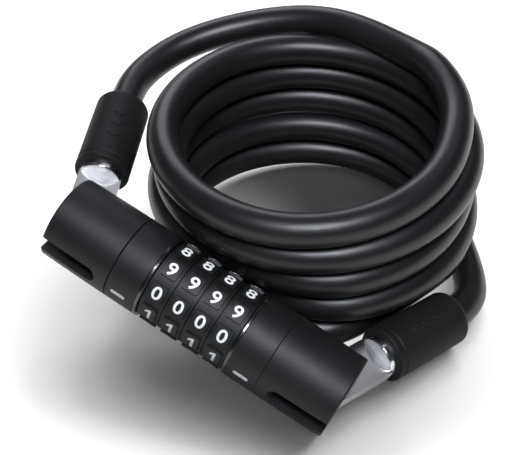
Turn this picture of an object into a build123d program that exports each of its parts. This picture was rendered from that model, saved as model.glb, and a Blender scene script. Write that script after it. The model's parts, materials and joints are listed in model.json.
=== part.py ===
"""Combination cable lock: a round four-dial lock body with a pull-out bolt half, and a coiled steel cable
whose two ends swivel in slots in the end caps.  Millimetres, +Z up, the coil and right sleeve stand on z = 0.

Most pieces are drawn in the lock body's own frame: x runs along its axis from the left end (0) to the right
end, y points back towards the coil and z is up, square to the swivel slots.  LOCK carries that frame to its
place, sloping down to the right because the left end hangs on the cable."""
from build123d import *
import math
import os

# ---- lock body -----------------------------------------------------------------------------------------
body_radius = 15.5          # collars, and the end caps at their widest
cap_length = 27.0
cap_end_radius = body_radius - 0.25     # the caps swell slightly from here to body_radius
cap_swell = 0.06
cap_edge_round = 0.7
seam_bevel = 0.2
collar_length = 11.6
trim_ring_length = 1.3
seam_gap = 0.25             # between the bolt half and the collar it plugs into

# ---- dials ---------------------------------------------------------------------------------------------
dial_count = 4
dial_length = 8.4
dial_gap = 0.3
dial_pad_radius = body_radius - 0.15
dial_root_radius = body_radius - 1.0    # floor of the grooves between the raised pads
pads_per_dial = 10
pad_length = dial_length - 2.5
pad_width = 6.355
pad_corner = 0.6

# ---- barrel core, code rings and bolt ------------------------------------------------------------------
core_radius = 6.0
core_bore_radius = core_radius - 1.9
spindle_radius = core_bore_radius - 0.06
spindle_root_radius = spindle_radius - 0.54
spindle_chamfer = 0.8
spindle_seat_wall = 0.8     # solid cap between its slot and the spindle's hole
spindle_pin_radius = 1.0
keyway_width = 2.8
lug_reach = core_radius + 1.8           # radius of the bolt lugs' tips
lug_clearance = 0.15
lug_length = 3.0
lug_setback = 0.5           # lug to the gated half of its code ring
ring_clearance = 0.1        # code ring on the core
gate_radius = core_radius + 2.3         # open half of a code ring, and the depth of its gate
gate_width = 3.4
notch_radius = 0.55         # the click spring's notches in a code ring
dial_bore_radius = gate_radius + 1.2
leaf_width = 2.4
leaf_thickness = 0.6
spigot_radius = core_radius + 4.0
spigot_length = 3.6
spigot_clearance = 0.08
spigot_end_room = 0.3
right_spigot_radius = core_radius + 5.0
right_web = 3.7             # wall of the right collar that the core passes through
core_end_in_cap = 6.0
circlip_thickness = 1.0
circlip_radius = core_radius + 2.4
circlip_groove_depth = 0.7
circlip_opening = 3.0
cap_pin_radius = 0.9
cap_pin_top = -4.0
washer_thickness = 0.35
washer_recess = 1.0

# ---- cable ---------------------------------------------------------------------------------------------
cable_radius = 6.0
strand_radius = cable_radius - 2.0
coil_centre = (8.84, 44.55)
coil_mean_radius = 55.0
coil_wander = 2.0           # how far the turns stray either side of the mean radius
coil_outer_radius = coil_mean_radius + cable_radius + coil_wander
coil_inner_radius = coil_mean_radius - cable_radius - coil_wander
coil_height = 76.0
coil_round = 4.5
top_turn_floor = 59.0       # the top turn stops where the left lead comes in
top_turn_angles = (78.0, 172.0)
bottom_turn_top = 2 * cable_radius + 5.0    # the bottom turn stops where the right lead goes out
bottom_turn_angles = (-26.0, 35.3)
nest_gap = 1.5              # room between the coil and what is pressed against it

# ---- swivelling cable ends -----------------------------------------------------------------------------
slot_height = 6.5
slot_end_wall = 4.8         # solid cap between the slot and the seam
slot_depth = cap_length - slot_end_wall
pin_setback = 7.0           # swivel pin to the cap's end face
pin_radius = 2.25
pin_running_clearance = 0.06
pin_top = body_radius - 4.0             # the pin's hole is blind, so the cap's top is plain
pin_recess = 0.9            # the pins' feet sit inside the caps' undersides
tongue_thickness = slot_height - 1.0
ferrule_radius = cable_radius + 1.9
ferrule_round = 0.5
tongue_width = 2 * ferrule_radius - 0.4
ferrule_start = body_radius + 7.0       # these lengths run outwards from the swivel pin
sleeve_start = ferrule_start + 3.0
sleeve_end = sleeve_start + 35.5
crimp_radius = cable_radius + 1.3
crimp_end = sleeve_end - 17.0
strand_start = sleeve_start + 4.0
sleeve_radius = cable_radius + 4.1
sleeve_mouth_round = 2.8
sleeve_foot_round = 1.0
sleeve_groove_at = sleeve_start + 4.0
sleeve_groove_width = 0.9
sleeve_groove_depth = 0.35
left_swing = 69.0           # each sleeve's angle from straight out along the lock's axis
right_swing = 67.5

# ---- index marks ---------------------------------------------------------------------------------------
mark_length = 5.8
mark_width = 1.5
mark_depth = 0.45
mark_stand = 0.05

# ---- placing of the lock body --------------------------------------------------------------------------
lock_tilt = 16.77
left_end = (-55.65, -22.10, 47.614)
LOCK = Pos(*left_end) * Rot(0, lock_tilt, 0)

# ---- stations along the lock's axis --------------------------------------------------------------------
left_seam = cap_length
left_ring_at = left_seam + collar_length
bank_start = left_ring_at + trim_ring_length + dial_gap
dial_pitch = dial_length + dial_gap
bank_end = bank_start + dial_count * dial_pitch - dial_gap
right_ring_at = bank_end + dial_gap
right_collar_at = right_ring_at + trim_ring_length
right_seam = right_collar_at + collar_length
lock_length = right_seam + cap_length
circlip_at = right_collar_at + right_web
right_spigot_at = circlip_at + circlip_thickness + spigot_end_room
core_end = right_spigot_at + core_end_in_cap - spigot_end_room
spindle_start = slot_depth + spindle_seat_wall
spindle_seat = left_seam + spigot_length
spindle_tip = circlip_at - 1.0

ALONG_X = Rot(0, 90, 0)


def rod(radius, start, end):
    """A cylinder on the lock's axis from x = start to x = end."""
    return Pos((start + end) / 2, 0, 0) * ALONG_X * Cylinder(radius, end - start)


def tube(outer, inner, start, end):
    """A ring on the lock's axis; the bore is cut long so that both ends are clean."""
    return rod(outer, start, end) - rod(inner, start - 1, end + 1)


def upright(radius, x, low, high):
    """A vertical cylinder standing on the lock's axis line."""
    return Pos(x, 0, (low + high) / 2) * Cylinder(radius, high - low)


def block(x0, x1, y0, y1, z0, z1):
    """A box given by its corners."""
    return Pos((x0 + x1) / 2, (y0 + y1) / 2, (z0 + z1) / 2) * Box(x1 - x0, y1 - y0, z1 - z0)


def keyway(start, end, reach, width):
    """The straight groove above the axis that the bolt's lugs travel in."""
    return block(start, end, -width / 2, width / 2, 0, reach)


# ---- end caps ------------------------------------------------------------------------------------------
def cap_shell(length):
    """An end cap with its outer end at x = 0 and its seam at x = length, slotted and drilled."""
    middle = (length * 0.45, (cap_end_radius + body_radius) / 2 + cap_swell)
    bevel = [(length - seam_bevel, body_radius), (length, body_radius - seam_bevel)]
    side = ThreePointArc((0, cap_end_radius), middle, bevel[0])
    outline = Polyline(*bevel, (length, 0), (0, 0), (0, cap_end_radius))
    shell = revolve(make_face(side + outline), Axis.X)
    rim = shell.edges().filter_by(GeomType.CIRCLE).sort_by(Axis.X)[0]
    shell = fillet(rim, cap_edge_round)
    half, reach = slot_height / 2, body_radius + 1
    slot = block(-1, slot_depth - half, -reach, reach, -half, half)
    slot += Pos(slot_depth - half, 0, 0) * Rot(90, 0, 0) * Cylinder(half, 2 * reach)
    shell -= slot
    return shell - upright(pin_radius, pin_setback, -body_radius - 1, pin_top)


def left_end_cap():
    cap = cap_shell(left_seam - seam_gap) + rod(spigot_radius, left_seam - seam_gap, spindle_seat)
    cap -= rod(spindle_root_radius, spindle_start, spindle_seat + 1)
    return cap - spindle_pin()


def spindle_pin():
    """Roll pin across the spigot that keeps the spindle in the bolt half."""
    reach = spigot_radius - 0.6
    return upright(spindle_pin_radius, left_seam + spigot_length / 2, -reach, reach)


def right_end_cap():
    cap = Pos(lock_length, 0, 0) * Rot(0, 0, 180) * cap_shell(cap_length)
    cap += rod(right_spigot_radius, right_spigot_at, right_seam)
    cap -= rod(core_radius, right_spigot_at - 1, right_spigot_at + core_end_in_cap)
    return cap - cap_pin()


def cap_pin():
    """Cross pin from below that fixes the right cap in its collar, clear of the core."""
    x = (right_spigot_at + core_end_in_cap + right_seam) / 2 + 0.3
    return upright(cap_pin_radius, x, -body_radius + pin_recess, cap_pin_top)


def swivel_pin(x):
    return upright(pin_radius, x, -body_radius + pin_recess, pin_top)


# ---- collars, trim rings and core ----------------------------------------------------------------------
def mark(x):
    """White index bar let into a collar on the side that faces the user."""
    half, rise = mark_length / 2, mark_width / 2
    bar = block(x - half, x + half, -body_radius - 1, -body_radius / 2, -rise, rise)
    bar = fillet(bar.edges().filter_by(Axis.Y), 0.93 * rise)
    return bar & tube(body_radius + mark_stand, body_radius - mark_depth, x - mark_length, x + mark_length)


def mark_pocket(x):
    return mark(x) & rod(body_radius + 1, x - mark_length, x + mark_length)


def collar_blank(start, end, seam):
    """A plain collar with the edge at its seam bevelled."""
    blank = rod(body_radius, start, end)
    rims = blank.edges().filter_by(GeomType.CIRCLE).sort_by(lambda rim: abs(rim.center().X - seam))
    return chamfer(rims[0], seam_bevel)


def left_collar():
    boss_end = left_ring_at + trim_ring_length
    collar = collar_blank(left_seam, left_ring_at, left_seam) + rod(dial_bore_radius, left_ring_at, boss_end)
    collar -= rod(spigot_radius + spigot_clearance, left_seam - 1, spindle_seat + spigot_end_room)
    collar -= rod(core_radius, left_seam, boss_end + 1)
    collar -= keyway(left_seam, boss_end + 1, gate_radius, gate_width)
    return collar - mark_pocket(left_mark_at)


def right_collar():
    collar = collar_blank(right_collar_at, right_seam, right_seam)
    collar += rod(dial_bore_radius, right_ring_at, right_collar_at)
    collar -= rod(right_spigot_radius, circlip_at, right_seam + 1)
    collar -= rod(core_radius, right_ring_at - 1, right_seam)
    collar -= rod(gate_radius, right_ring_at - 1, right_ring_at + washer_recess)
    return collar - mark_pocket(right_mark_at) - cap_pin()


def spring_washer():
    """Washer that holds the bank of dials together, in the right collar's recess."""
    washer_end = right_ring_at + washer_thickness
    return tube(gate_radius - 0.3, core_radius + ring_clearance, right_ring_at, washer_end)


def trim_ring(start):
    ring = tube(body_radius, dial_bore_radius, start, start + trim_ring_length)
    return fillet(ring.edges().filter_by(GeomType.CIRCLE).sort_by(SortBy.LENGTH)[-2:], 0.35)


def barrel_core():
    """Slotted steel tube that the code rings turn on and the bolt slides in."""
    start = spindle_seat + spigot_end_room
    core = tube(core_radius, core_bore_radius, start, core_end)
    core -= keyway(start - 1, right_ring_at + 0.2, core_radius + 1, keyway_width)
    for x in code_ring_starts:
        core -= leaf(x, leaf_thickness + 0.1)
    groove_floor = core_radius - circlip_groove_depth
    groove = tube(core_radius + 1, groove_floor, circlip_at, circlip_at + circlip_thickness)
    return core - groove


def circlip():
    """Open spring clip that holds the core in the right collar."""
    clip_end = circlip_at + circlip_thickness
    clip = tube(circlip_radius, core_radius - circlip_groove_depth, circlip_at, clip_end)
    return clip - keyway(circlip_at - 1, clip_end + 1, circlip_radius + 1, circlip_opening)


def leaf(x, thickness=leaf_thickness):
    """Click spring of one dial, let into the underside of the core."""
    top = -core_radius + 0.05 + thickness
    return block(x + 1, x + dial_length - 1, -leaf_width / 2, leaf_width / 2, top - thickness, top)


# ---- dials ---------------------------------------------------------------------------------------------
def dial_shape():
    """One dial with its raised pads, from x = 0 to x = dial_length."""
    middle = dial_length / 2
    fan = Part()
    for turn in range(pads_per_dial):
        pad = Pos(middle, 0, -body_radius / 2 - 5) * Box(pad_length, pad_width, body_radius + 2)
        pad = fillet(pad.edges().filter_by(Axis.Z), pad_corner)
        fan += Rot(360 / pads_per_dial * turn + 90, 0, 0) * pad
    pads = fan & tube(dial_pad_radius, dial_root_radius - 0.5, 0, dial_length)
    return rod(dial_root_radius, 0, dial_length) + pads - rod(dial_bore_radius, -1, dial_length + 1)


def code_ring_shape():
    """Code ring: the half towards the right is open for its lug, the other half has only the gate."""
    half = dial_length / 2
    ring = tube(dial_bore_radius, core_radius + ring_clearance, 0, dial_length)
    ring -= rod(gate_radius, half, dial_length + 1)
    ring -= keyway(-1, dial_length + 1, gate_radius, gate_width)
    for turn in range(1, pads_per_dial):
        notch = Pos(0, 0, core_radius + ring_clearance) * rod(notch_radius, -1, half + 1)
        ring -= Rot(360 / pads_per_dial * turn, 0, 0) * notch
    return ring


def locking_spindle():
    """Steel bolt with one lug for each code ring."""
    bolt = rod(spindle_root_radius, spindle_start, spindle_seat)
    bolt += rod(spindle_radius, spindle_seat, spindle_tip)
    tip = bolt.edges().filter_by(GeomType.CIRCLE).sort_by(Axis.X)[-1]
    bolt = chamfer(tip, spindle_chamfer)
    width = keyway_width - 2 * lug_clearance
    for x in code_ring_starts:
        start = x + dial_length / 2 + lug_setback
        bolt += block(start, start + lug_length, -width / 2, width / 2, 0, lug_reach)
    return bolt - spindle_pin()


# ---- swivelling cable ends, drawn outwards from the pin along +x -----------------------------------------
def end_fitting():
    """Chromed fork blade, ferrule and crimp barrel in one forging."""
    half = tongue_width / 2
    blade = block(0, ferrule_start + 1, -half, half, -tongue_thickness / 2, tongue_thickness / 2)
    blade += Cylinder(half, tongue_thickness)
    ferrule = rod(ferrule_radius, ferrule_start, sleeve_start + 1)
    rim = ferrule.edges().filter_by(GeomType.CIRCLE).sort_by(Axis.X)[0]
    ferrule = fillet(rim, ferrule_round)
    fitting = blade + ferrule + rod(crimp_radius, sleeve_start, crimp_end)
    fitting -= rod(strand_radius, strand_start, crimp_end + 1)
    return fitting - Cylinder(pin_radius + pin_running_clearance, 20)


def sleeve():
    """Rubber sleeve over the crimp, with a shallow ring groove near its foot."""
    shell = rod(sleeve_radius, sleeve_start, sleeve_end)
    foot = shell.edges().filter_by(GeomType.CIRCLE).sort_by(Axis.X)[0]
    shell = fillet(foot, sleeve_foot_round)
    mouth = shell.edges().filter_by(GeomType.CIRCLE).sort_by(Axis.X)[-1]
    shell = fillet(mouth, sleeve_mouth_round)
    shell -= rod(ferrule_radius, sleeve_start - 1, sleeve_start + 1)
    shell -= rod(crimp_radius, sleeve_start, crimp_end)
    shell -= rod(cable_radius, crimp_end - 1, sleeve_end + 1)
    groove_end = sleeve_groove_at + sleeve_groove_width
    return shell - tube(sleeve_radius + 1, sleeve_radius - sleeve_groove_depth, sleeve_groove_at, groove_end)


def strand():
    return rod(strand_radius, strand_start, sleeve_end)


def jacket():
    return tube(cable_radius, strand_radius, crimp_end, sleeve_end)


# ---- cable ---------------------------------------------------------------------------------------------
def sector(angles, low, high):
    """A wedge of the coil between two angles, counter-clockwise, and two heights."""
    start, end = (math.radians(a) for a in angles)
    reach = coil_outer_radius * 2.5
    corners = [(0, 0)]
    steps = 6
    for step in range(steps + 1):
        a = start + (end - start) * step / steps
        corners.append((reach * math.cos(a), reach * math.sin(a)))
    wedge = extrude(make_face(Polyline(*corners, close=True)), high - low)
    return Pos(*coil_centre, low) * wedge


def cable_coil():
    """The wound part of the cable as one ring, cut back where the lock, the sleeve and the leads lie."""
    ring = Cylinder(coil_outer_radius, coil_height) - Cylinder(coil_inner_radius, coil_height + 2)
    top = ring.edges().filter_by(GeomType.CIRCLE).group_by(Axis.Z)[-1]
    ring = fillet(top, coil_round)
    ring = Pos(*coil_centre, coil_height / 2) * ring
    ring -= sector(top_turn_angles, top_turn_floor, coil_height + 1)
    ring -= sector(bottom_turn_angles, -1, bottom_turn_top)
    ring -= LOCK * rod(body_radius + nest_gap, -lock_length / 2, lock_length * 1.2)
    for link in (left_link, right_link):
        ring -= LOCK * link * rod(sleeve_radius + nest_gap, 10, sleeve_end + 4)
    return ring


def lead(points):
    """A length of cable along straight runs joined by arcs as large as the runs allow."""
    runs = [b - a for a, b in zip(points, points[1:])]
    radii = []
    for one, two in zip(runs, runs[1:]):
        turn = math.radians(one.get_angle(two))
        radii.append(0.45 * min(one.length, two.length) / math.tan(turn / 2))
    path = FilletPolyline(*points, radius=radii)
    start = Plane(points[0], z_dir=runs[0])
    body = sweep(start * Circle(cable_radius), path)
    print("  radii", [round(r, 1) for r in radii], "length", round(path.length, 1),
          "volume share", round(body.volume / (math.pi * cable_radius ** 2 * path.length), 5))
    return body


# The left lead's route between the run that leaves its sleeve and the run that meets the coil.
left_lead_points = [
    (-74.1, 55.2, 54.0), (-71.6, 66.9, 55.4), (-66.0, 77.5, 57.4), (-56.0, 88.6, 59.8), (-42.2, 98.4, 62.6),
    (-25.9, 104.6, 65.8)]


def lead_route(link, first_run, points, angle, radius, height, last_run, winding):
    """Straight out of the sleeve, through the given points, and along the turn that the lead becomes."""
    mouth = LOCK * link * Pos(sleeve_end, 0, 0)
    start = mouth.position
    out = (mouth * Pos(first_run, 0, 0)).position
    a = math.radians(angle)
    x, y = coil_centre
    end = Vector(x + radius * math.cos(a), y + radius * math.sin(a), height)
    along = Vector(-math.sin(a), math.cos(a), 0) * winding
    return [start, out] + [Vector(*p) for p in points] + [end - along * last_run, end]


# ---- put the pieces in place and write them --------------------------------------------------------------
left_link = Pos(pin_setback, 0, 0) * Rot(0, 0, 180 - left_swing)
right_link = Pos(lock_length - pin_setback, 0, 0) * Rot(0, 0, right_swing)
left_mark_at = left_seam + 0.45 * collar_length
right_mark_at = right_collar_at + 0.5 * collar_length
code_ring_starts = [bank_start + n * dial_pitch for n in range(dial_count)]

nodes = {
    "left_end_cap": left_end_cap(),
    "left_swivel_pin": swivel_pin(pin_setback),
    "locking_spindle": locking_spindle(),
    "spindle_pin": spindle_pin(),
    "left_collar": left_collar(),
    "left_index_mark": mark(left_mark_at),
    "left_trim_ring": trim_ring(left_ring_at),
    "barrel_core": barrel_core(),
    "click_springs": Compound(children=[leaf(x) for x in code_ring_starts]),
    "spring_washer": spring_washer(),
    "right_trim_ring": trim_ring(right_ring_at),
    "right_collar": right_collar(),
    "right_index_mark": mark(right_mark_at),
    "core_circlip": circlip(),
    "right_end_cap": right_end_cap(),
    "right_cap_pin": cap_pin(),
    "right_swivel_pin": swivel_pin(lock_length - pin_setback),
}
dial, code_ring = dial_shape(), code_ring_shape()
for n, x in enumerate(code_ring_starts, 1):
    nodes[f"dial_{n}"] = Pos(x, 0, 0) * dial
    nodes[f"code_ring_{n}"] = Pos(x, 0, 0) * code_ring
for side, link in (("left", left_link), ("right", right_link)):
    nodes[f"{side}_end_fitting"] = link * end_fitting()
    nodes[f"{side}_sleeve"] = link * sleeve()
    nodes[f"{side}_cable_strand"] = link * strand()
    nodes[f"{side}_cable_jacket"] = link * jacket()
nodes = {name: LOCK * shape for name, shape in nodes.items()}

nodes["cable_coil"] = cable_coil()
routes = {
    "left": lead_route(left_link, 10.0, left_lead_points, top_turn_angles[0], 56.0, 68.0, 28.0, -1),
    "right": lead_route(right_link, 7.5, [], bottom_turn_angles[1], 57.0, cable_radius, 27.0, 1),
}
for side, route in routes.items():
    print(side, "lead", [tuple(round(c, 2) for c in p) for p in route])
    nodes[f"{side}_lead"] = lead(route)

os.makedirs("parts", exist_ok=True)
for name, shape in nodes.items():
    export_step(shape, f"parts/{name}.step")
print("lock length", round(lock_length, 2), "nodes", len(nodes))
hard = Compound(children=[s for n, s in nodes.items() if n not in ("cable_coil", "left_lead", "right_lead")])
box = hard.bounding_box()
print("box without the cable", box.min, box.max, "centre", box.center())
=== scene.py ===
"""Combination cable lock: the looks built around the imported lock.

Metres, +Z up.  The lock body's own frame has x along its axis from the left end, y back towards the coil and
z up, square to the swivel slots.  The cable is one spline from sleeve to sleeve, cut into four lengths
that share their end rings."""
import json

import bmesh
import bpy
import numpy as np
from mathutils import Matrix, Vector


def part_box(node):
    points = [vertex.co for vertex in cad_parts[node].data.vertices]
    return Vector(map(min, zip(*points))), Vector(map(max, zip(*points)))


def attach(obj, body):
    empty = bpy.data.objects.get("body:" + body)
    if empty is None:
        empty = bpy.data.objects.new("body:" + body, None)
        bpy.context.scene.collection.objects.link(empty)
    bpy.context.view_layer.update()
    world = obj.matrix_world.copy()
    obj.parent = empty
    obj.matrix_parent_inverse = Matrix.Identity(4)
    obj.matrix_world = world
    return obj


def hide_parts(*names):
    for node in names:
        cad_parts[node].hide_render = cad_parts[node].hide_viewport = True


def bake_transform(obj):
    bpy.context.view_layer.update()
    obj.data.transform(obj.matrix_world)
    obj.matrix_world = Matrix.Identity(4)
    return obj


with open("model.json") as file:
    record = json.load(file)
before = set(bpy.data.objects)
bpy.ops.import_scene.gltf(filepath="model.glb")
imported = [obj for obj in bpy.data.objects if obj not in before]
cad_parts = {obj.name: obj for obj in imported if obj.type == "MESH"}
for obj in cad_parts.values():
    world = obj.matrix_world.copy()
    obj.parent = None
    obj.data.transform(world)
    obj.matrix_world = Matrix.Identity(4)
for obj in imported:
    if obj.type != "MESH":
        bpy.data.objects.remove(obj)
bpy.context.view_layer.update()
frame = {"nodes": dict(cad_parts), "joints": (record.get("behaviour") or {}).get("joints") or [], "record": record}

mm = 0.001
joints = {j["name"]: j for j in frame["joints"]}

# ---- sizes shared with the CAD part --------------------------------------------------------------------
body_radius = 15.5 * mm
pin_setback = 7.0 * mm
dial_count = 4
pads_per_dial = 10
dial_pad_radius = 15.35 * mm
dial_root_radius = 14.5 * mm
sleeve_start, sleeve_end = 25.5 * mm, 61.0 * mm      # outwards from the swivel pin
sleeve_radius = 10.1 * mm
ferrule_radius = 7.9 * mm
cable_radius = 6.0 * mm
left_swing, right_swing = np.radians(69.0), np.radians(67.5)


# ---- the lock body's frame, read from its joints -------------------------------------------------------
def unit(v):
    v = np.asarray(v, float)
    return v / np.linalg.norm(v, axis=-1, keepdims=True)


along = unit(joints["dial_1_turn"]["axis"])
back = np.array((0.0, 1.0, 0.0))
upward = np.cross(along, back)
left_pin = np.array(joints["left_end_swivel"]["pos_m"])
right_pin = np.array(joints["right_end_swivel"]["pos_m"])
lock_start = left_pin - along * pin_setback
lock_end = right_pin + along * pin_setback
left_link = -np.cos(left_swing) * along + np.sin(left_swing) * back
right_link = np.cos(right_swing) * along + np.sin(right_swing) * back


# ---- camera --------------------------------------------------------------------------------------------
camera_place = (0.14548, -0.24510, 0.3228)
camera_direction = (-0.35482, 0.62907, -0.69165)
camera_lens, camera_sensor = 81.19, 36.0


def make_camera():
    data = bpy.data.cameras.new("camera")
    data.lens = camera_lens
    data.sensor_width = camera_sensor
    data.clip_start, data.clip_end = 0.01, 20.0
    camera = bpy.data.objects.new("camera", data)
    camera.location = camera_place
    camera.rotation_euler = Vector(camera_direction).to_track_quat("-Z", "Y").to_euler()
    bpy.context.scene.collection.objects.link(camera)
    bpy.context.scene.camera = camera


make_camera()

# ---- the cable's route ---------------------------------------------------------------------------------
left_points = [
    (-69.88, 34.85, 51.9), (-73.31, 44.18, 52.93), (-74.1, 55.2, 54.0), (-71.6, 66.9, 55.4),
    (-66.0, 77.5, 57.4), (-56.0, 88.6, 59.8), (-42.2, 98.4, 62.6), (-25.9, 104.6, 65.8),
    (-6.91, 105.15, 68.0), (20.48, 99.33, 68.0)]
right_points = [
    (55.36, 77.49, 6.0), (70.96, 55.45, 6.0), (72.76, 41.19, 8.91), (70.01, 34.26, 9.74)]

coil_centre = np.array((6.1, 47.4)) * mm
coil_mean_radius = 54.8 * mm
first_turn, last_turn = 0.40, 5.42           # in turns, clockwise seen from above
turn_zero = np.radians(205.0)
points_per_turn = 16
turn_drop = 12.8 * mm
top_height = 75.3 * mm                       # of the first turn's start, were it not pressed down
highest = 70 * mm
# how far stretches of the loose coil stand out from the round, and how far they lift, by turn
stand_out = {0.40: -3.0, 0.52: -6.0, 0.80: 0.5, 1.15: 0.5, 1.30: -1.5, 1.50: 0.0, 2.00: -1.5, 2.25: 1.5,
             2.55: -2.0, 3.05: 2.2, 3.50: 1.2, 3.80: -1.0, 4.25: -1.5, 4.50: -0.5, 4.95: 2.0, 5.20: -2.0,
             5.42: 1.0}
lifts = {0.40: 0.0, 0.52: 0.5, 0.75: -2.5, 1.00: -1.5, 1.25: 0.0, 1.50: 1.2, 1.75: -1.7, 2.25: 0.0,
         2.75: -1.0, 3.20: 0.0, 3.50: -1.0, 4.00: 0.6, 4.30: 0.5, 4.50: -0.3, 5.00: 0.5, 5.42: 0.0}
press_gap = 0.6 * mm                         # left between the coil and what is pressed against it
press_rounds = 12


def kept_off(points, start, end, radius):
    """Points of the coil nearer than the radius to a line are drawn towards the coil's axis until clear."""
    line = end - start
    for _ in range(press_rounds):
        share = np.clip((points - start) @ line / (line @ line), 0, 1)
        off = points - (start + share[:, None] * line)
        short = np.maximum(radius - np.linalg.norm(off, axis=1), 0)
        inward = np.zeros_like(points)
        inward[:, :2] = unit(coil_centre - points[:, :2])
        points = points + inward * short[:, None]
    return points


def coil_points():
    """Turns of one radius about an upright axis, each a cable's height below the last, let out and lifted
    here and there as a loose coil is, and pressed in where the lock and the right sleeve lie against it."""
    count = int(round((last_turn - first_turn) * points_per_turn))
    t = np.linspace(first_turn, last_turn, count + 1)
    angle = turn_zero - 2 * np.pi * t
    out = np.interp(t, list(stand_out), list(stand_out.values())) * mm
    lift = np.interp(t, list(lifts), list(lifts.values())) * mm
    radius = (coil_mean_radius + out) / np.cos(np.pi / points_per_turn)
    height = np.clip(top_height + lift - turn_drop * t, cable_radius, highest)
    x = coil_centre[0] + radius * np.cos(angle)
    y = coil_centre[1] + radius * np.sin(angle)
    points = np.stack((x, y, height), axis=1)
    points = kept_off(points, lock_start, lock_end, body_radius + cable_radius + press_gap)
    sleeve = right_pin + right_link * 20 * mm, right_pin + right_link * (sleeve_end + 2 * mm)
    return kept_off(points, *sleeve, sleeve_radius + cable_radius + press_gap)


def spline_samples(points, steps):
    """The line of a quadratic NURBS spline with these control points, as Blender's own curve gives it."""
    curve = bpy.data.curves.new("cable_route", "CURVE")
    curve.dimensions = "3D"
    spline = curve.splines.new("NURBS")
    spline.points.add(len(points) - 1)
    spline.points.foreach_set("co", np.column_stack((points, np.ones(len(points)))).ravel())
    spline.order_u = 3
    spline.use_endpoint_u = True
    spline.resolution_u = steps
    holder = bpy.data.objects.new("cable_route", curve)
    mesh = bpy.data.meshes.new_from_object(holder)
    line = np.empty(len(mesh.vertices) * 3)
    mesh.vertices.foreach_get("co", line)
    bpy.data.objects.remove(holder)
    bpy.data.curves.remove(curve)
    bpy.data.meshes.remove(mesh)
    return line.reshape(-1, 3)


# ---- meshes from grids ---------------------------------------------------------------------------------
def grid_mesh(name, grid, uv=None, caps=False):
    """A surface through a grid of points, rows x columns, whose columns run round and close.  The faces point
    outwards when the columns run anticlockwise seen against the rows' direction."""
    rows, columns = grid.shape[:2]
    i, j = np.meshgrid(np.arange(rows - 1), np.arange(columns), indexing="ij")
    k = (j + 1) % columns
    faces = np.stack((i * columns + j, i * columns + k, (i + 1) * columns + k, (i + 1) * columns + j), -1)
    faces = [tuple(f) for f in faces.reshape(-1, 4).tolist()]
    points = grid.reshape(-1, 3)
    if caps:
        faces.append(tuple(range(rows * columns + columns - 1, rows * columns - 1, -1)))
        faces.append(tuple(range((rows + 1) * columns, (rows + 2) * columns)))
        points = np.vstack((points, grid[0], grid[-1]))
    mesh = bpy.data.meshes.new(name)
    mesh.from_pydata(points.tolist(), [], faces)
    mesh.shade_smooth()
    if uv is not None:
        u, v = uv
        u_corner = np.stack((u[j], u[j + 1], u[j + 1], u[j]), -1)
        v_corner = np.stack((v[i], v[i], v[i + 1], v[i + 1]), -1)
        flat = np.zeros((len(mesh.loops), 2))
        flat[:u_corner.size] = np.stack((u_corner, v_corner), -1).reshape(-1, 2)
        layer = mesh.uv_layers.new(name="UVMap")
        layer.data.foreach_set("uv", flat.ravel())
    return mesh


def add_object(name, mesh, material):
    mesh.materials.append(material)
    piece = bpy.data.objects.new(name, mesh)
    bpy.context.scene.collection.objects.link(piece)
    return piece


# ---- shader expressions --------------------------------------------------------------------------------
class Value:
    """A socket of a material's node tree that takes part in sums: each operator adds its Math node."""

    def __init__(self, shader, socket):
        self.shader, self.socket = shader, socket

    def math(self, operation, *others):
        return self.shader.node("Math", {"operation": operation}, self, *others)

    def __add__(self, other):
        return self.math("ADD", other)

    def __mul__(self, other):
        return self.math("MULTIPLY", other)

    __radd__, __rmul__ = __add__, __mul__

    def clamp(self):
        return self.shader.node("Clamp", {}, self)

    def step(self, low, high):
        """0 below low, 1 above high, and smooth between."""
        return self.shader.node("MapRange", {"interpolation_type": "SMOOTHSTEP"}, self, low, high)


class Shader:
    """One material: a Principled surface, and node() for every other node."""

    def __init__(self, name, **constants):
        self.material = bpy.data.materials.new(name)
        self.material.use_nodes = True
        self.tree = self.material.node_tree
        self.surface = self.tree.nodes["Principled BSDF"]
        for socket, value in constants.items():
            self.set(socket.replace("_", " ").title().replace("Ior", "IOR"), value)

    def link(self, value, socket):
        if isinstance(value, Value):
            self.tree.links.new(value.socket, socket)
        elif hasattr(socket.default_value, "__len__") and len(socket.default_value) == 4:
            socket.default_value = (*value, 1.0)
        else:
            socket.default_value = value

    def set(self, socket, value):
        self.link(value, self.surface.inputs[socket])

    def node(self, kind, settings, *values, out=0, **named):
        made = self.tree.nodes.new("ShaderNode" + kind)
        for key, value in settings.items():
            setattr(made, key, value)
        for value, socket in zip(values, made.inputs):
            self.link(value, socket)
        for key, value in named.items():
            self.link(value, made.inputs[key])
        return Value(self, made.outputs[out])

    def place(self, source="Object"):
        return self.node("TexCoord", {}, out=source)

    def noise(self, where, scale, detail=3.0, roughness=0.5):
        return self.node("TexNoise", {}, Vector=where, Scale=scale, Detail=detail, Roughness=roughness)

    def mix(self, share, one, two):
        """A colour between two, by a share from 0 to 1."""
        made = self.tree.nodes.new("ShaderNodeMix")
        made.data_type = "RGBA"
        self.link(share, made.inputs["Factor"])
        for value, socket in zip((one, two), [s for s in made.inputs if s.type == "RGBA"]):
            self.link(value, socket)
        return Value(self, next(s for s in made.outputs if s.type == "RGBA"))

    def bump(self, height, distance, strength=1.0):
        self.set("Normal", self.node("Bump", {}, Strength=strength, Distance=distance, Height=height))


def axis_place(shader):
    """Distance along the lock's axis and out from it, as two values."""
    axis = tuple(along)
    where = shader.node("VectorMath", {"operation": "SUBTRACT"}, shader.place(), tuple(lock_start))
    run = shader.node("VectorMath", {"operation": "DOT_PRODUCT"}, where, axis, out="Value")
    across = shader.node("VectorMath", {"operation": "CROSS_PRODUCT"}, where, axis)
    reach = shader.node("VectorMath", {"operation": "LENGTH"}, across, out="Value")
    return run, reach


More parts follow.
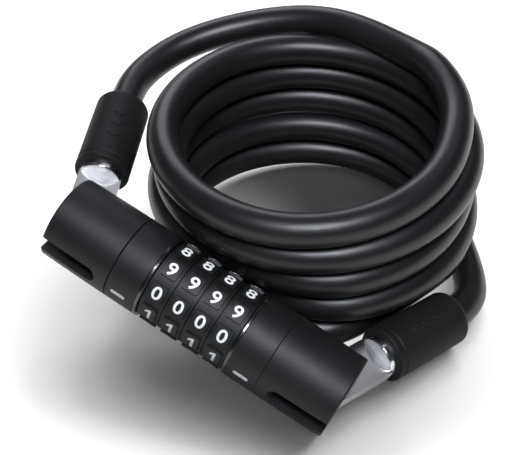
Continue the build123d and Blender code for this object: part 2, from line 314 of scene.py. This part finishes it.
# ---- materials -----------------------------------------------------------------------------------------
def soft_touch():
    """Matte black coating: a very fine grain, with faint cloudy handling marks in its sheen."""
    s = Shader("soft_touch_shell", specular_ior_level=0.3)
    where = s.place()
    grain = s.noise(where, 2600.0, 2.0)
    cloud = s.noise(where, 70.0, 4.0)
    s.set("Base Color", s.mix(cloud, (0.007, 0.007, 0.008), (0.011, 0.011, 0.012)))
    s.set("Roughness", 0.42 + 0.16 * cloud)
    s.bump(grain, 0.00008, 0.35)
    return s.material


def gloss_trim():
    """Polished black ring: smooth lacquer with hairline swirls."""
    s = Shader("gloss_trim", coat_weight=0.6, coat_roughness=0.05)
    run = axis_place(s)[0]
    lines = s.node("TexNoise", {"noise_dimensions": "1D"}, W=run * 9000.0, Scale=1.0)
    smear = s.noise(s.place(), 160.0)
    s.set("Base Color", s.mix(smear, (0.006, 0.006, 0.007), (0.012, 0.012, 0.013)))
    s.set("Roughness", 0.20 + 0.10 * smear)
    s.bump(lines, 0.00002, 0.2)
    return s.material


def white_paint():
    """White filled marks: slightly uneven, a little dirt in the low places."""
    s = Shader("white_mark", specular_ior_level=0.4)
    where = s.place()
    fleck = s.noise(where, 900.0, 4.0)
    s.set("Base Color", s.mix(fleck.step(0.35, 0.75), (0.84, 0.84, 0.83), (0.95, 0.95, 0.94)))
    s.set("Roughness", 0.45 + 0.2 * fleck)
    s.bump(fleck, 0.00003, 0.3)
    return s.material


def dial_rubber():
    """Dark grey rubberised dial: painted shade darkens the grooves between the raised pads, which stay lighter."""
    s = Shader("dial_rubber", specular_ior_level=0.35)
    reach = axis_place(s)[1]
    where = s.place()
    groove_shade_mask = reach.step(dial_root_radius + 0.1 * mm, dial_pad_radius - 0.05 * mm)
    cloud = s.noise(where, 220.0, 4.0)
    grain = s.noise(where, 3400.0, 2.0)
    # painted shade: the grooves between the pads take the darker colour and the raised pads the lighter one,
    # varied by a cloudy noise
    groove_shade_and_cloud = (groove_shade_mask * (0.65 + 0.35 * cloud)).clamp()
    s.set("Base Color", s.mix(groove_shade_and_cloud, (0.003, 0.003, 0.0035), (0.0105, 0.0105, 0.011)))
    s.set("Roughness", 0.46 + 0.16 * cloud)
    s.bump(grain, 0.00007, 0.4)
    return s.material


def turned_metal(name, light, dark, roughness):
    """Turned metal: fine tool rings round the lock's axis over faint cloudy staining."""
    s = Shader(name, metallic=1.0)
    run = axis_place(s)[0]
    rings = s.node("TexNoise", {"noise_dimensions": "1D"}, W=run * 7000.0, Scale=1.0)
    stain = s.noise(s.place(), 260.0, 4.0)
    s.set("Base Color", s.mix(stain, dark, light))
    s.set("Roughness", roughness + 0.15 * stain)
    s.bump(rings, 0.00002, 0.35)
    return s.material


def chrome():
    """Bright nickel-chrome plate, faintly brushed and a little clouded."""
    s = Shader("chrome_fitting", metallic=1.0)
    where = s.place()
    cloud = s.noise(where, 240.0, 4.0)
    pits = s.noise(where, 5200.0, 2.0)
    s.set("Base Color", s.mix(cloud, (0.62, 0.62, 0.63), (0.76, 0.76, 0.76)))
    s.set("Roughness", 0.15 + 0.08 * cloud)
    s.bump(pits, 0.00002, 0.12)
    return s.material


def sleeve_rubber():
    """Moulded rubber: matte black with a fine stipple and faint dusty patches."""
    s = Shader("sleeve_rubber", specular_ior_level=0.2)
    where = s.place()
    dust = s.noise(where, 95.0, 5.0)
    stipple = s.noise(where, 1900.0, 3.0)
    s.set("Base Color", s.mix(dust, (0.0060, 0.0060, 0.0066), (0.0105, 0.0105, 0.011)))
    s.set("Roughness", 0.52 + 0.16 * dust)
    s.bump(stipple, 0.00012, 0.35)
    return s.material


def cable_jacket():
    """Satin black PVC jacket: shallow long ripples from extrusion, fine speckle and dull patches."""
    s = Shader("cable_jacket", specular_ior_level=0.42)
    uv = s.place("UV")
    around = s.node("Mapping", {}, uv, Scale=(3.0, 1.0, 1.0))
    ripple = s.noise(around, 3.2, 4.0, 0.55)
    speckle = s.noise(uv, 70.0, 3.0, 0.6)
    patch = s.noise(uv, 1.3, 4.0)
    s.set("Base Color", s.mix(patch, (0.005, 0.005, 0.006), (0.011, 0.011, 0.012)))
    s.set("Roughness", 0.29 + 0.12 * patch + 0.06 * speckle)
    s.bump(ripple * 0.7 + speckle * 0.12, 0.0005, 0.30)
    return s.material


def steel_strand():
    """Galvanised wires laid in a helix, with painted light where they stand up and painted shade between."""
    s = Shader("steel_strand", metallic=1.0)
    where = s.place()
    wire_relief_and_shade = s.node("TexWave", {"bands_direction": "DIAGONAL"}, Vector=where, Scale=420.0, Distortion=0.6)
    # painted light and painted shade: the colour follows the wire bumps, light on the wire tops and dark between
    # the wires
    s.set("Base Color", s.mix(wire_relief_and_shade, (0.22, 0.22, 0.23), (0.62, 0.62, 0.63)))
    s.set("Roughness", 0.34 + 0.2 * s.noise(where, 300.0))
    s.bump(wire_relief_and_shade, 0.0003, 0.8)
    return s.material


materials = {
    "soft_touch_shell": soft_touch(),
    "gloss_trim": gloss_trim(),
    "white_mark": white_paint(),
    "dial_rubber": dial_rubber(),
    "brass_ring": turned_metal("brass_ring", (0.72, 0.52, 0.24), (0.50, 0.34, 0.14), 0.26),
    "hard_steel": turned_metal("hard_steel", (0.56, 0.56, 0.57), (0.36, 0.36, 0.38), 0.24),
    "chrome_fitting": chrome(),
    "sleeve_rubber": sleeve_rubber(),
    "cable_jacket": cable_jacket(),
    "steel_strand": steel_strand(),
}

node_finish = {part["node"]: part["material_slot"] for part in frame["record"]["subparts"]}
for node, piece in frame["nodes"].items():
    piece.data.materials.clear()
    piece.data.materials.append(materials[node_finish[node]])


# ---- cable ---------------------------------------------------------------------------------------------
cable_sides = 28
steps_per_point = 8             # samples of the spline between two of its points
left_lead_length, right_lead_length = 80 * mm, 76 * mm
half_turn_reach = 300 * mm      # the coil's far right side comes before this length
end_ring_room = 5.2 * mm        # an inset from each end ring along the cable
turn_end_room = 3 * mm


def cable_ring_grid(line):
    """A circle of the cable's radius carried along the line, square to it, its first point uppermost."""
    tangent = unit(np.gradient(line, axis=0))
    side = unit(np.cross(tangent, (0.0, 0.0, 1.0)))
    over = np.cross(side, tangent)
    a = np.linspace(0, 2 * np.pi, cable_sides, endpoint=False)
    ring = over[:, None] * np.cos(a)[None, :, None] - side[:, None] * np.sin(a)[None, :, None]
    return line[:, None] + cable_radius * ring


def bend(piece, start, end):
    """Bakes the piece's placement into its mesh; the inset from each end ring is worked out but no blend is made.
    """
    inset = unit(end - start) * end_ring_room
    start + inset
    end - inset
    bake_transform(piece)


def make_cable():
    """One spline from sleeve to sleeve, cut into four cords.  The top turn ends at the coil's right side."""
    route = np.vstack((np.array(left_points) * mm, coil_points(), np.array(right_points) * mm))
    line = spline_samples(route, steps_per_point)
    length = np.concatenate(([0.0], np.cumsum(np.linalg.norm(np.diff(line, axis=0), axis=1))))
    grid = cable_ring_grid(line)
    u, v = np.arange(cable_sides + 1) / cable_sides, length / (2 * np.pi * cable_radius)
    near_left = int(np.searchsorted(length, left_lead_length))
    top_turn = near_left + int(np.argmax(line[near_left:np.searchsorted(length, half_turn_reach), 0]))
    near_right = int(np.searchsorted(length, length[-1] - right_lead_length))
    cuts = {"cable_left_lead": (0, near_left + 1), "cable_top_turn": (near_left, top_turn + 1),
            "cable_coil_turns": (top_turn, near_right + 1), "cable_right_lead": (near_right, len(line))}
    pieces = {}
    for name, (a, b) in cuts.items():
        mesh = grid_mesh(name, grid[a:b], (u, v[a:b]), caps=True)
        piece = add_object(name, mesh, materials["cable_jacket"])
        pieces[name] = piece
    bend(pieces["cable_left_lead"], line[4], line[near_left])
    turn_end = line[top_turn] - (turn_end_room, 0, 0)
    bend(pieces["cable_top_turn"], line[near_left], turn_end)
    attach(pieces["cable_coil_turns"], "root")
    bend(pieces["cable_right_lead"], line[near_right], line[-4])
    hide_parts("left_lead")
    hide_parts("left_lead")
    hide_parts("cable_coil")
    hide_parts("right_lead")


make_cable()


# ---- sleeves -------------------------------------------------------------------------------------------
mouth_round, foot_round, lip_round = 2.8 * mm, 1.0 * mm, 0.45 * mm
lip_gap = 0.12 * mm
lip_depth = 4 * mm
groove_at, groove_width, groove_depth = 28.45 * mm, 0.55 * mm, 0.35 * mm
motif_stations = (37.5 * mm, 43.0 * mm, 48.5 * mm)
motif_length, motif_width, motif_height = 4.4 * mm, 5.2 * mm, 0.28 * mm
motif_start, motif_end, motif_arc = 33 * mm, 53 * mm, 0.30      # the finely divided part; radians each way
motif_edge = 5                  # how steeply a lozenge's edge rises


def arc(x, r, radius, start, end, steps):
    a = np.radians(np.linspace(start, end, steps))
    return np.stack((x + radius * np.cos(a), r + radius * np.sin(a)), axis=1)


def sleeve_profile():
    """Distance along and radius: over the rounded foot, along the wall with its ring groove, round the thick
    mouth and a little way in against the cable."""
    foot = arc(sleeve_start + foot_round, sleeve_radius - foot_round, foot_round, 180, 90, 8)
    x = np.concatenate((np.linspace(sleeve_start + foot_round, motif_start, 60)[1:],
                        np.linspace(motif_start, motif_end, 130)[1:],
                        np.linspace(motif_end, sleeve_end - mouth_round, 12)[1:]))
    groove = groove_depth * np.exp(-((x - groove_at) / groove_width) ** 4)
    wall = np.stack((x, sleeve_radius - groove), axis=1)
    mouth = arc(sleeve_end - mouth_round, sleeve_radius - mouth_round, mouth_round, 90, 0, 16)[1:]
    lip_r = cable_radius + lip_gap + lip_round
    lip = arc(sleeve_end - lip_round, lip_r, lip_round, 0, -90, 6)
    inner = [(sleeve_end - lip_depth, lip_r - lip_round)]
    return np.vstack(([(sleeve_start, ferrule_radius - 0.4 * mm)], foot, wall, mouth, lip, inner))


def make_sleeve(name, pin, link, body, node):
    """The profile turned about the link's axis, with three plain lozenges raised along its upper side.  A
    lozenge's height falls with the distance along plus the distance round, each as a share of its size."""
    fine = np.linspace(-motif_arc, motif_arc, 70)
    coarse = np.linspace(motif_arc, 2 * np.pi - motif_arc, 62)[1:-1]
    theta = np.concatenate((fine, coarse))
    profile = sleeve_profile()
    x, r = profile[:, :1], profile[:, 1:]
    arcs = sleeve_radius * np.arctan2(np.sin(theta), np.cos(theta))[None]
    raised = np.zeros((len(profile), len(theta)))
    for station in motif_stations:
        inside = 1 - np.abs(x - station) * 2 / motif_length - np.abs(arcs) * 2 / motif_width
        raised = np.maximum(raised, np.clip(inside * motif_edge, 0, 1))
    raised = motif_height * raised ** 2 * (3 - 2 * raised)
    radius = r + raised * (r > sleeve_radius - 0.6 * mm)
    side = np.cross(link, upward)
    spoke = upward[None] * np.cos(theta)[:, None] - side[None] * np.sin(theta)[:, None]
    grid = pin + x[..., None] * link + radius[..., None] * spoke[None]
    turns = np.append(theta, 2 * np.pi - motif_arc) / (2 * np.pi)
    mesh = grid_mesh(name, grid, (turns, profile[:, 0] / (2 * np.pi * sleeve_radius)))
    piece = add_object(name, mesh, materials["sleeve_rubber"])
    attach(piece, body)
    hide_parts(node)


make_sleeve("left_moulded_sleeve", left_pin, left_link, "left_cable_end", "left_sleeve")
make_sleeve("right_moulded_sleeve", right_pin, right_link, "right_cable_end", "right_sleeve")


# ---- digits on the dials -------------------------------------------------------------------------------
digit_size = (7.3 * mm, 6.5 * mm)       # wide and high, for a font of one metre
digit_weight = 0.018
digit_print = 0.05 * mm
slice_step = 0.07
figure_one = [
    (0.10, 0.0), (0.24, 0.0), (0.24, 0.70), (0.12, 0.70), (-0.07, 0.56), (-0.07, 0.43), (0.10, 0.53)]


def digit_mesh(number):
    """A digit of the built-in typeface about 0.7 m high; the 1 is drawn, with a flag."""
    if number == 1:
        mesh = bpy.data.meshes.new("digit")
        count = len(figure_one)
        points = [(x, y, z) for z in (-1.0, 1.0) for x, y in figure_one]
        walls = [(i, (i + 1) % count, (i + 1) % count + count, i + count) for i in range(count)]
        mesh.from_pydata(points, [], [tuple(range(count))[::-1], tuple(range(count, 2 * count)), *walls])
        return mesh
    text = bpy.data.curves.new("digit", "FONT")
    text.body = str(number)
    text.size = 1.0
    text.offset = digit_weight
    text.extrude = 1.0
    text.align_x = "CENTER"
    text.resolution_u = 8
    holder = bpy.data.objects.new("digit", text)
    mesh = bpy.data.meshes.new_from_object(holder)
    bpy.data.objects.remove(holder)
    bpy.data.curves.remove(text)
    return mesh


def digit_shape(number):
    """A digit as a thin mesh centred on the origin, cut into slices so that it can follow a curved pad."""
    mesh = digit_mesh(number)
    shape = bmesh.new()
    shape.from_mesh(mesh)
    bpy.data.meshes.remove(mesh)
    bmesh.ops.triangulate(shape, faces=shape.faces)
    low = min(v.co.y for v in shape.verts)
    high = max(v.co.y for v in shape.verts)
    for level in np.arange(low + slice_step, high, slice_step):
        everything = [*shape.verts, *shape.edges, *shape.faces]
        bmesh.ops.bisect_plane(shape, geom=everything, plane_co=(0, level, 0), plane_no=(0, 1, 0))
    points = np.array([v.co for v in shape.verts])
    points[:, :2] -= (points[:, :2].min(0) + points[:, :2].max(0)) / 2
    points *= (*digit_size, digit_print)
    faces = [tuple(v.index for v in f.verts) for f in shape.faces]
    shape.free()
    return points, faces


def make_digits(n, shapes):
    """Ten digits round one dial: 1 stands at the index line on the lock's front, 0 above it, then 9 to 2."""
    low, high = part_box(f"dial_{n}")
    middle = (np.array(low) + np.array(high)) / 2
    station = (middle - lock_start) @ along
    points, faces, count = [], [], 0
    for number, (flat, sides) in enumerate(shapes):
        turn = np.radians(90 + 360 / pads_per_dial * (number - 1)) - flat[:, 1] / dial_pad_radius
        reach = dial_pad_radius + flat[:, 2]
        x = station + flat[:, 0]
        place = (x[:, None] * along - (reach * np.sin(turn))[:, None] * back
                 + (reach * np.cos(turn))[:, None] * upward)
        points.append(lock_start + place)
        faces += [tuple(i + count for i in f) for f in sides]
        count += len(flat)
    mesh = bpy.data.meshes.new(f"dial_{n}_digits")
    mesh.from_pydata(np.vstack(points).tolist(), [], faces)
    piece = add_object(f"dial_{n}_digits", mesh, materials["white_mark"])
    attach(piece, f"dial_ring_{n}")


digit_shapes = [digit_shape(number) for number in range(pads_per_dial)]
for n in range(1, dial_count + 1):
    make_digits(n, digit_shapes)


# ---- floor, light and view -----------------------------------------------------------------------------
floor_reach = 3.0
lamp_distance, lamp_width = 3.0, 1.5


def make_floor():
    mesh = bpy.data.meshes.new("floor")
    corners = [(x * floor_reach, y * floor_reach, 0) for x, y in ((-1, -1), (1, -1), (1, 1), (-1, 1))]
    mesh.from_pydata(corners, [], [(0, 1, 2, 3)])
    s = Shader("floor_paint", specular_ior_level=0.1)
    s.set("Base Color", s.mix(s.noise(s.place(), 6.0), (0.90, 0.90, 0.90), (0.92, 0.92, 0.92)))
    s.set("Roughness", 0.9)
    floor = add_object("floor", mesh, s.material)
    floor.visible_diffuse = False
    return floor


def light_apart(floor):
    """The studio lamps, slightly cool, light the object only.  A set of its own lights the floor: mostly from
    behind, so that the coil and the lock shade the floor inside and in front of them."""
    scene = bpy.context.scene
    things = bpy.data.collections.new("lit_by_studio")
    for piece in [o for o in scene.objects if o.type == "MESH" and o != floor]:
        things.objects.link(piece)
    for lamp in studio_lamps:
        lamp.data.color = studio_colour
        lamp.light_linking.receiver_collection = things
    ground = bpy.data.collections.new("lit_by_floor_lamps")
    ground.objects.link(floor)
    for azimuth, elevation, power in floor_lamps:
        a, e = np.radians(azimuth), np.radians(elevation)
        place = lamp_distance * np.array((np.cos(a) * np.cos(e), np.sin(a) * np.cos(e), np.sin(e)))
        lamp = make_light(f"floor_lamp_{azimuth}", place, (0, 0, 0), (lamp_width, lamp_width), power)
        lamp.light_linking.receiver_collection = ground


def make_light(name, place, target, size, power):
    data = bpy.data.lights.new(name, "AREA")
    data.shape = "RECTANGLE"
    data.size, data.size_y = size
    data.energy = power
    lamp = bpy.data.objects.new(name, data)
    lamp.location = place
    direction = Vector(target) - Vector(place)
    lamp.rotation_euler = direction.to_track_quat("-Z", "Y").to_euler()
    bpy.context.scene.collection.objects.link(lamp)
    return lamp


def make_world(strength):
    world = bpy.data.worlds.new("studio")
    world.use_nodes = True
    background = world.node_tree.nodes["Background"]
    background.inputs["Color"].default_value = (1, 1, 1, 1)
    background.inputs["Strength"].default_value = strength
    bpy.context.scene.world = world


# azimuth from +X and elevation in degrees, and watts
floor_lamps = [
    (50, 50, 42.0), (85, 48, 50.0), (120, 48, 52.0), (160, 48, 46.0),
    (300, 42, 5.0), (0, 30, 7.0), (200, 30, 7.0)]
middle = (0.0, 0.03, 0.03)
studio_colour = (0.88, 0.915, 1.0)
studio_lamps = [
    make_light("front_key", (0.20, -0.30, 0.74), middle, (0.30, 0.24), 7.8),
    make_light("back_rim", (-0.40, 0.52, 0.42), middle, (0.40, 0.30), 1.7),
    make_light("back_card", (0.05, 0.55, 0.66), middle, (0.45, 0.30), 0.28)]
light_apart(make_floor())
make_world(0.045)
bpy.context.scene.view_settings.view_transform = "Standard"
